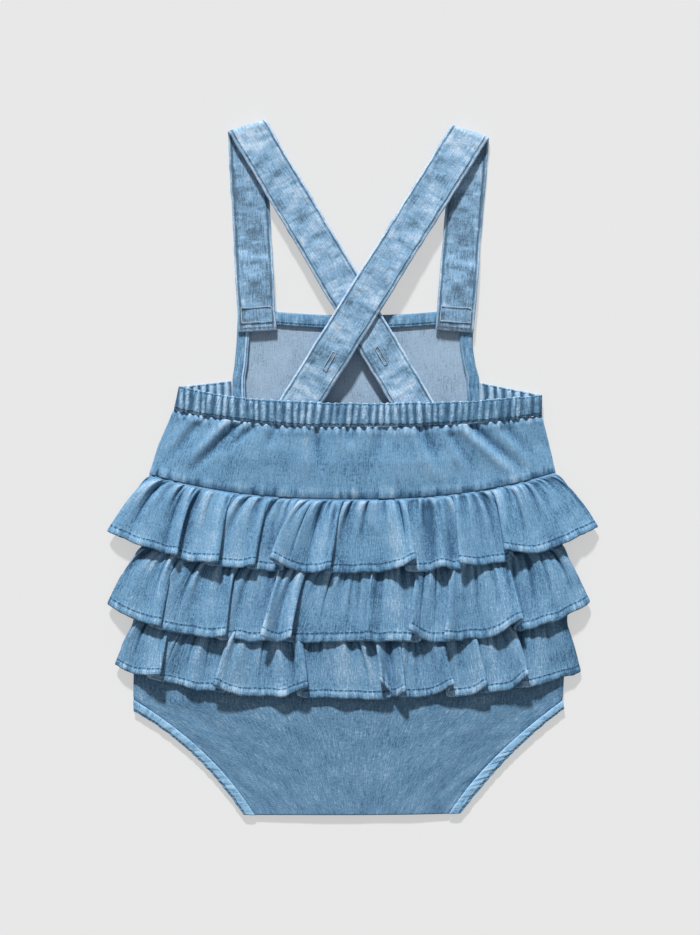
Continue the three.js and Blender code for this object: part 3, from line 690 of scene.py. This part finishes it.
def make_ruffles():
    """Each ruffle: lines of cloth from its seam to its folded hem, with gathers near the seam and soft waves.

    The hem's folds shrink towards the seam by share^0.6.
    """
    for number, (name, (seam_name, mid, end, hem, folds)) in enumerate(RUFFLES.items()):
        seam = LINES[seam_name]
        u, v = grid(780, 36)
        (hx, rise, lift), along = hem_curve(hem_points(hem, folds), u)
        top_x, top_y = line_at(seam, mix(-0.995, 0.995, u))
        t = share_at(hem, hx)
        seam_z = underside(seam, share_at(seam, top_x)) + 1.5 * CLOTH + GAP
        base = mix(seam_z, mix(mid, end, np.minimum(1, np.abs(t)) ** 8), v)
        growth = v**0.6
        hem_y = line_at(hem, np.clip(t, -1, 1))[1] + lift
        x = mix(top_x, hx, growth)
        y = mix(top_y - 2 * GAP, hem_y, v)
        z = base + rise * np.where(rise < 0, v**1.5, growth)
        seed = 80 + 10 * number
        fine = ripple(along, 2.9, seed) * np.exp(-((v / 0.22) ** 1.5)) * smooth(v * 90 + 0.25)
        gathers = ripple(along, 5.2, seed + 7) * np.exp(-((v / 0.5) ** 2)) * smooth(v * 20)
        waves = ripple(along, 9.5, seed + 1) * smooth(v * 5) * (0.5 + 0.5 * v)
        droop = ripple(along, 17, seed + 2) * v
        sharp = np.exp(-((ripple(along, 13, seed + 8) / 0.12) ** 2))
        lines = sharp * smooth(v * 6) * (1 - 0.8 * smooth(v * 1.1))
        above_hem = (1 - v) * RUFFLE_HEIGHT
        seam_groove = np.exp(-((v * RUFFLE_HEIGHT / 0.9) ** 2))
        z = z + 1.35 * fine + 1.5 * gathers + 1.5 * waves + 0.6 * droop - 1.5 * lines
        z = z + 1.1 * np.sin(math.pi * v) * np.exp(-(v * 2) ** 2)
        # Tone for wear and painted light: the raised gathers, waves and fold crests are lighter, partly real
        # wear and partly painted highlight; the sharp crease lines and the seam's groove are darker, as painted
        # shade.
        wear_and_shade = 0.9 * fine + 0.7 * gathers + 0.5 * waves - lines + 0.3 * rise / 8 * growth - 0.3 * seam_groove
        y = y + 0.8 * v * ripple(along, 9, seed + 3) + 0.25 * v**6 * ripple(along, 2.4, seed + 4)
        x = x + 0.7 * ripple(along, 12, seed + 5) * np.sin(math.pi * v)
        hem_band = np.exp(-((above_hem - 2.2) / 2.0) ** 2)
        z = z + (0.2 + 0.22 * ripple(along, 2.3, seed + 6)) * hem_band
        thick = 0.8 + 0.35 * smooth(1.6 - above_hem / 4)
        cloth(f"{name}_cloth", np.stack([x, y, z], -1), thick, finishes()[f"denim_{name}"],
              edge=above_hem, wear_and_shade=wear_and_shade)


def make_straps():
    """Each strap: a flat strip carried from the bib to its fold, round a half turn, and back over itself.

    past is how far a point is beyond the fold's line, along the line's normal. Up to the fold the
    strip is unmoved; round it, it goes out by the radius times the sine; after it, it comes back.
    """
    for side, (bib, fold, waist, (places, heights)) in STRAPS.items():
        start, turn, end = (np.array(p, float) for p in (bib, fold, waist))
        up, down = turn - start, end - turn
        front, back = np.linalg.norm(up), np.linalg.norm(down)
        up, down = up / front, down / back
        across = np.array([up[1], -up[0]])
        crease = (up + down) / np.linalg.norm(up + down)
        beyond = np.array([-crease[1], crease[0]])
        beyond *= np.sign(beyond @ up)
        turn_length = math.pi * FOLD_RADIUS
        u, v = grid(22, 760)
        along = mix(-front, back + turn_length, v)
        side_wave = 0.35 * ripple(along, 5.5, 101 + len(side)) + 0.35 * ripple(along, 17, 103)
        wide = (u - 0.5) * (STRAP_WIDTH - 0.4) + side_wave * (2 * u - 1) * 0.6
        flat = up * along[..., None] + across * wide[..., None]
        past = flat @ beyond
        turned = np.clip(past / turn_length, 0, 1)
        after = past - turn_length
        out = np.where(past <= 0, past, FOLD_RADIUS * np.sin(math.pi * turned) - np.maximum(0, after))
        on_bib = (1 - smooth((along + front - 27) / 30)) * 2.8
        rise = np.interp(after, places, heights) * (after > 0) * smooth(after / 20)
        place = turn + crease * (flat @ crease)[..., None] + beyond * out[..., None]
        z = 1.0 + on_bib + FOLD_RADIUS * (1 - np.cos(math.pi * turned)) + rise
        lumps = 0.4 * patches(wide * 0.7, along, 4.5, 105) + 0.3 * patches(wide, along * 1.6, 3.0, 107)
        inset = np.minimum(u, 1 - u) * STRAP_WIDTH
        mottle = 0.4 * patches(wide * 0.5, along, 6.5, 111) + 0.65 * patches(wide * 0.45, along, 3.4, 113)
        lumps = lumps * smooth(inset / 3) + 0.22 * ripple(along, 2.4, 109) * np.exp(-((inset - 1) / 1.3) ** 2)
        middle = np.concatenate([place, (z + lumps * 0.6)[..., None]], -1)
        thick = 1.25 + 0.35 * smooth(inset / 1.2) - 0.3 * np.exp(-((inset - 2) / 0.5) ** 2)
        edge = np.minimum(inset, along + front + 0.2)
        cloth(f"strap_{side}_cloth", middle, thick, finishes()["denim_strap"],
              edge=edge, wear_and_shade=mottle * smooth((inset - 2) / 2) - 0.5 * (past < 0) + 0.2)


def thread_finish(name, deep, pale):
    """Spun thread: a fine fibre between two colours."""
    shader = Shader(name)
    fibre = shader.noise(shader.node("ShaderNodeTexCoord", {}, {}, 3), 2500.0)
    return shader.finish(shader.blend(fibre, deep, pale), 0.8 + fibre * 0.1, fibre, 0.0002)


def outline(half_width, low, high):
    """A closed rectangle: across and along, from low to high."""
    return np.array([(-half_width, low), (half_width, low), (half_width, high), (-half_width, high),
                     (-half_width, low)], float)


def make_stitching():
    """The threads on each strap: overlocking, a zigzag, and a box stitch at the bib, and a buttonhole."""
    pale = tuple(bpy.context.scene.bodysuit_colours.thread)
    dark = tuple(bpy.context.scene.bodysuit_colours.dark)
    threads = (
        thread_finish("thread", tuple(0.6 * c for c in pale), pale),
        thread_finish("thread_blue", dark, tuple(1.2 * c for c in dark)),
    )
    places = np.linspace(-11.8, 11.8, 65)
    zigzag = np.column_stack([places, np.where(np.arange(65) % 2, 0.7, 3.6)])
    for side, (bib, fold, waist, rise) in STRAPS.items():
        start, turn, end = (np.array(p, float) for p in (bib, fold, waist))
        length = np.linalg.norm(end - turn)
        up, down = (turn - start) / np.linalg.norm(turn - start), (end - turn) / length
        from_fold = length * BUTTONHOLES[side]
        height = np.interp(from_fold, *rise) + BUTTONHOLE_BASE
        rows = (
            (start, up, zigzag, STITCH_HEIGHT),
            (start, up, outline(9.6, 6.0, 15.5), STITCH_HEIGHT),
            (turn + down * from_fold, down, outline(1.2, -6.2, 6.2), height),
        )
        curve = bpy.data.curves.new(f"strap_stitches_{side}", "CURVE")
        curve.dimensions, curve.bevel_depth, curve.bevel_resolution = "3D", THREAD_RADIUS / 1000, 1
        for number, (origin, ahead, path, z) in enumerate(rows):
            across = np.array([ahead[1], -ahead[0]])
            flat = origin + across * path[:, :1] + ahead * path[:, 1:]
            points = np.column_stack([flat, np.full(len(path), z)])
            spline = curve.splines.new("POLY")
            spline.material_index = min(number, 1)
            spline.points.add(len(path) - 1)
            placed = np.column_stack([(points + OFFSET) / 1000, np.ones(len(path))])
            spline.points.foreach_set("co", placed.ravel())
        piece = bpy.data.objects.new(curve.name, curve)
        bpy.context.collection.objects.link(piece)
        for thread in threads:
            curve.materials.append(thread)
        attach(piece, "root")


def make_buttons():
    """The two hidden buttons keep their modelled shape and take a plastic finish."""
    for side in ("left", "right"):
        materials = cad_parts[f"button_{side}"].data.materials
        materials.clear()
        materials.append(finishes()["button_plastic"])


def make_stage():
    """A pale level floor, a fairly hard lamp beyond the shoulders, soft light all round, and the camera."""
    colours = bpy.context.scene.bodysuit_colours
    mesh = bpy.data.meshes.new("floor")
    corners = [(x, y, -0.0004) for x, y in ((-3, -3), (3, -3), (3, 3), (-3, 3))]
    mesh.from_pydata(corners, [], [(0, 1, 2, 3)])
    floor = bpy.data.objects.new("floor", mesh)
    bpy.context.collection.objects.link(floor)
    shader = Shader("floor")
    shader.surface.inputs["Base Color"].default_value = (*colours.floor, 1)
    shader.surface.inputs["Roughness"].default_value = 1.0
    shader.surface.inputs["Specular IOR Level"].default_value = 0.0
    glow = shader.node("ShaderNodeEmission", {}, {"Color": tuple(colours.floor), "Strength": 1.0})
    seen = shader.node("ShaderNodeLightPath") * 0.62
    matt = Value(shader, shader.surface.outputs[0])
    both = shader.node("ShaderNodeMixShader", {}, {0: seen, 1: matt, 2: glow})
    shader.put(shader.tree.nodes["Material Output"].inputs["Surface"], both)
    mesh.materials.append(shader.material)
    sizes = bpy.context.scene.bodysuit_sizes
    lamp = bpy.data.lights.new("key", "SUN")
    lamp.energy, lamp.angle = sizes.key_strength, math.radians(5)
    sun = bpy.data.objects.new("key", lamp)
    sun.rotation_euler = (-(math.pi / 2 - sizes.key_height), 0, math.radians(8))
    bpy.context.collection.objects.link(sun)
    world = bpy.data.worlds.new("studio")
    bpy.context.scene.world = world
    world.use_nodes = True
    background = world.node_tree.nodes["Background"]
    background.inputs["Color"].default_value = (1, 1, 1, 1)
    background.inputs["Strength"].default_value = sizes.fill_strength
    camera = bpy.data.cameras.new("camera")
    camera.sensor_fit, camera.sensor_height, camera.clip_end = "VERTICAL", 24, 10
    camera.lens = 24 * sizes.camera_height / sizes.view_height
    viewer = bpy.data.objects.new("camera", camera)
    viewer.location = (OFFSET[0] / 1000, OFFSET[1] / 1000, sizes.camera_height + 0.005)
    bpy.context.collection.objects.link(viewer)
    bpy.context.scene.camera = viewer
    bpy.context.scene.view_settings.view_transform = "Standard"


# ---- Add-on ----


def colour_property(name, description, default):
    """A colour that a user can change in the panel."""
    return FloatVectorProperty(name=name, description=description, subtype="COLOR", size=3, min=0, max=1,
                               default=default)


class BodysuitColours(bpy.types.PropertyGroup):
    face: colour_property("Denim", "Right side of the denim", rgb(100, 141, 173))
    worn: colour_property("Worn denim", "Denim where folds and edges have faded", rgb(168, 196, 220))
    inside: colour_property("Wrong side", "Wrong side of the denim, inside the bib", rgb(158, 183, 206))
    dark: colour_property("Deep denim", "Denim between its threads and in stitch rows", rgb(58, 92, 122))
    thread: colour_property("Thread", "Thread of the box stitches and overlocking", rgb(205, 216, 226))
    floor: colour_property("Floor", "The plain floor", rgb(233, 233, 233))


class BodysuitSizes(bpy.types.PropertyGroup):
    key_strength: FloatProperty(name="Key light", description="Strength of the lamp", default=4.35, min=0)
    key_height: FloatProperty(name="Key height", description="How high the lamp stands",
                              default=math.radians(30), subtype="ANGLE")
    fill_strength: FloatProperty(name="Fill light", description="Strength of the light all round",
                                 default=0.28, min=0)
    camera_height: FloatProperty(name="Camera height", description="Height of the camera",
                                 default=2.0, unit="LENGTH")
    view_height: FloatProperty(name="View height", description="Height of what the camera sees",
                               default=0.5984, unit="LENGTH")


def operator(name, label, text, *makers):
    """An operator class that calls the makers in turn."""
    def execute(self, context):
        for maker in makers:
            maker()
        return {"FINISHED"}

    return type(f"BODYSUIT_OT_{name}", (bpy.types.Operator,), {
        "bl_idname": f"bodysuit.{name}", "bl_label": label, "__doc__": text, "execute": execute})


OPERATORS = (
    operator("bib_edges", "Bib edges", "Makes the bib's hem and facings, and the side bands", make_bib_edges),
    operator("bindings", "Leg bindings", "Makes the bindings of the leg openings", make_bindings),
    operator("front", "Front", "Makes the front with its bib", make_front),
    operator("seat", "Seat", "Makes the seat of the back", make_seat),
    operator("yoke", "Yoke", "Makes the upper back", make_yoke),
    operator("casing", "Casing", "Makes the elastic casing of the back waist", make_casing),
    operator("ruffles", "Ruffles", "Makes the three gathered ruffles", make_ruffles),
    operator("straps", "Straps", "Makes the two folded straps and their stitching",
             make_straps, make_stitching),
    operator("buttons", "Buttons", "Finishes the two hidden buttons", make_buttons),
    operator("stage", "Stage", "Makes the floor, the lights and the camera", make_stage),
)


class BODYSUIT_PT_panel(bpy.types.Panel):
    """Lists the garment's colours, sizes and pieces."""

    bl_label = "Bodysuit"
    bl_space_type = "VIEW_3D"
    bl_region_type = "UI"
    bl_category = "Bodysuit"

    def draw(self, context):
        for group in (context.scene.bodysuit_colours, context.scene.bodysuit_sizes):
            for key in group.__annotations__:
                self.layout.prop(group, key)
        for kind in OPERATORS:
            self.layout.operator(kind.bl_idname)


CLASSES = (BodysuitColours, BodysuitSizes, *OPERATORS, BODYSUIT_PT_panel)


def register():
    for kind in CLASSES:
        bpy.utils.register_class(kind)
    bpy.types.Scene.bodysuit_colours = PointerProperty(type=BodysuitColours)
    bpy.types.Scene.bodysuit_sizes = PointerProperty(type=BodysuitSizes)


def unregister():
    del bpy.types.Scene.bodysuit_sizes
    del bpy.types.Scene.bodysuit_colours
    for kind in reversed(CLASSES):
        bpy.utils.unregister_class(kind)


def main():
    register()
    for kind in OPERATORS:
        getattr(bpy.ops.bodysuit, kind.bl_idname.split(".")[1])()


if __name__ == "__main__":
    main()
